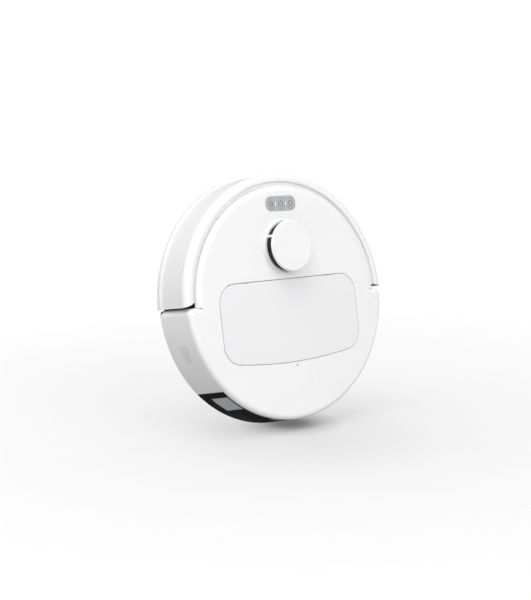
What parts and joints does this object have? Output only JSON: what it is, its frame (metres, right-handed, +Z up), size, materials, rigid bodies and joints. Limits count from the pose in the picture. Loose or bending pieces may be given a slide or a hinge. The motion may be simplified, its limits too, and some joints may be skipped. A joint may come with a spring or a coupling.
{
  "type": "robot vacuum",
  "caption": "Round robot vacuum with a laser turret, a flush hinged lid over a lift-out dust bin, a sprung front bumper, drive wheels, a caster and spinning brushes.",
  "frame": {"origin": "on the floor below the middle of the round body", "axes": "+Z up, the robot drives towards -Y, +X is the robot's left"},
  "size_m": [0.343, 0.3415, 0.0945],
  "materials": {
    "white_shell": "satin",
    "lid_white": "gloss",
    "dark_base": "fine texture",
    "panel_black": "gloss",
    "bumper_grey": "matte",
    "key_grey": "satin",
    "window_dark": "gloss",
    "head_black": "matte",
    "inner_grey": "fine texture",
    "bin_clear": "gloss",
    "filter_white": "fibrous",
    "grille_grey": "matte",
    "contact_metal": "polished",
    "steel": "ground",
    "motor_steel": "satin",
    "board_green": "satin",
    "battery_wrap": "satin",
    "belt_rubber": "matte",
    "tyre_rubber": "matte",
    "brush_rubber": "matte",
    "bristle_nylon": "satin",
    "gear_white": "satin",
    "light_clear": "gloss"
  },
  "bodies": {
    "chassis": {"top_cover": "white_shell", "turret_base": "white_shell", "turret_window": "window_dark", "turret_cap": "white_shell", "button_frame": "key_grey", "base_plate": "dark_base", "battery_door": "dark_base", "brush_guard": "bumper_grey", "rear_panel": "panel_black", "exhaust_grille": "grille_grey", "charging_contacts": "contact_metal", "status_light": "light_clear", "bin_bay": "inner_grey", "dust_bin": "bin_clear", "dust_bin_cover": "inner_grey", "dust_filter": "filter_white", "lid_pins": "steel", "speaker": "head_black", "fan_housing": "inner_grey", "fan_motor": "motor_steel", "lidar_plate": "inner_grey", "lidar_motor": "motor_steel", "lidar_belt": "belt_rubber", "switch_board": "board_green", "main_board": "board_green", "battery": "battery_wrap", "bumper_switches": "head_black", "cliff_lenses": "window_dark", "screws": "steel", "suspension_pins": "steel", "suspension_springs": "steel", "brush_bush": "gear_white", "brush_gearbox": "inner_grey", "brush_motor": "motor_steel", "side_brush_motor": "motor_steel"},
    "bumper": {"bumper_shell": "white_shell", "bumper_lip": "white_shell"},
    "lid": {"lid": "lid_white"},
    "key_dock": {"button_dock": "key_grey"},
    "key_power": {"button_power": "key_grey"},
    "key_spot": {"button_spot": "key_grey"},
    "laser_head": {"lidar_rotor": "head_black"},
    "laser_pulley": {"lidar_pulley": "gear_white"},
    "fan_wheel": {"fan_impeller": "gear_white"},
    "caster_body": {"caster_fork": "inner_grey", "caster_axle": "steel"},
    "caster_roller": {"caster_wheel": "tyre_rubber"},
    "arm_left": {"wheel_arm_left": "dark_base"},
    "arm_right": {"wheel_arm_right": "dark_base"},
    "drive_wheel_left": {"tyre_left": "tyre_rubber", "wheel_hub_left": "inner_grey"},
    "drive_wheel_right": {"tyre_right": "tyre_rubber", "wheel_hub_right": "inner_grey"},
    "main_brush": {"brush_core": "head_black", "brush_fins": "brush_rubber", "brush_gear": "gear_white"},
    "brush_idler": {"idler_gear": "gear_white"},
    "brush_pinion": {"motor_pinion": "gear_white"},
    "side_brush": {"side_brush_hub": "brush_rubber", "side_brush_bristles": "bristle_nylon"}
  },
  "joints": [
    {"name": "bumper_press", "type": "slide", "parent": "chassis", "child": "bumper", "axis": [0, 1, 0], "range_m": [0, 0.0035], "stiffness_N_per_m": 1200, "springref_m": -0.0025},
    {"name": "lid_hinge", "type": "hinge", "parent": "chassis", "child": "lid", "pos_m": [0, -0.0241, 0.0755], "axis": [1, 0, 0], "range_deg": [0, 80]},
    {"name": "key_dock_press", "type": "slide", "parent": "chassis", "child": "key_dock", "axis": [0, 0, -1], "range_m": [0, 0.0008], "stiffness_N_per_m": 800, "springref_m": -0.001},
    {"name": "key_power_press", "type": "slide", "parent": "chassis", "child": "key_power", "axis": [0, 0, -1], "range_m": [0, 0.0008], "stiffness_N_per_m": 800, "springref_m": -0.001},
    {"name": "key_spot_press", "type": "slide", "parent": "chassis", "child": "key_spot", "axis": [0, 0, -1], "range_m": [0, 0.0008], "stiffness_N_per_m": 800, "springref_m": -0.001},
    {"name": "laser_spin", "type": "hinge", "parent": "chassis", "child": "laser_head", "pos_m": [0, -0.0692, 0.07], "axis": [0, 0, 1], "continuous": true},
    {"name": "laser_pulley_spin", "type": "hinge", "parent": "chassis", "child": "laser_pulley", "pos_m": [-0.046, -0.082, 0.066], "axis": [0, 0, 1], "continuous": true},
    {"name": "fan_spin", "type": "hinge", "parent": "chassis", "child": "fan_wheel", "pos_m": [0.054, 0.1, 0.042], "axis": [0, 1, 0], "continuous": true},
    {"name": "caster_swivel", "type": "hinge", "parent": "chassis", "child": "caster_body", "pos_m": [0, -0.121, 0.02], "axis": [0, 0, 1], "continuous": true},
    {"name": "caster_roll", "type": "hinge", "parent": "caster_body", "child": "caster_roller", "pos_m": [0, -0.118, 0.012], "axis": [1, 0, 0], "continuous": true},
    {"name": "arm_left_swing", "type": "hinge", "parent": "chassis", "child": "arm_left", "pos_m": [0.115, -0.032, 0.03], "axis": [1, 0, 0], "range_deg": [-28, 0], "stiffness_Nm_per_rad": 0.12, "springref_deg": -45.84},
    {"name": "wheel_left_roll", "type": "hinge", "parent": "arm_left", "child": "drive_wheel_left", "pos_m": [0.115, 0.012, 0.033], "axis": [1, 0, 0], "continuous": true},
    {"name": "arm_right_swing", "type": "hinge", "parent": "chassis", "child": "arm_right", "pos_m": [-0.115, -0.032, 0.03], "axis": [1, 0, 0], "range_deg": [-28, 0], "stiffness_Nm_per_rad": 0.12, "springref_deg": -45.84},
    {"name": "wheel_right_roll", "type": "hinge", "parent": "arm_right", "child": "drive_wheel_right", "pos_m": [-0.115, 0.012, 0.033], "axis": [1, 0, 0], "continuous": true},
    {"name": "brush_spin", "type": "hinge", "parent": "chassis", "child": "main_brush", "pos_m": [0, -0.04, 0.019], "axis": [1, 0, 0], "continuous": true},
    {"name": "brush_idler_spin", "type": "hinge", "parent": "chassis", "child": "brush_idler", "pos_m": [-0.08, -0.04, 0.0374], "axis": [1, 0, 0], "continuous": true},
    {"name": "brush_pinion_spin", "type": "hinge", "parent": "chassis", "child": "brush_pinion", "pos_m": [-0.08, -0.04, 0.0534], "axis": [1, 0, 0], "continuous": true},
    {"name": "side_brush_spin", "type": "hinge", "parent": "chassis", "child": "side_brush", "pos_m": [-0.079, -0.101, 0.008], "axis": [0, 0, 1], "continuous": true}
  ],
  "couplings": [
    {"joint": "laser_pulley_spin", "follows": "laser_spin", "ratio": 6},
    {"joint": "brush_idler_spin", "follows": "brush_spin", "ratio": -0.64286},
    {"joint": "brush_pinion_spin", "follows": "brush_spin", "ratio": 1.5}
  ]
}
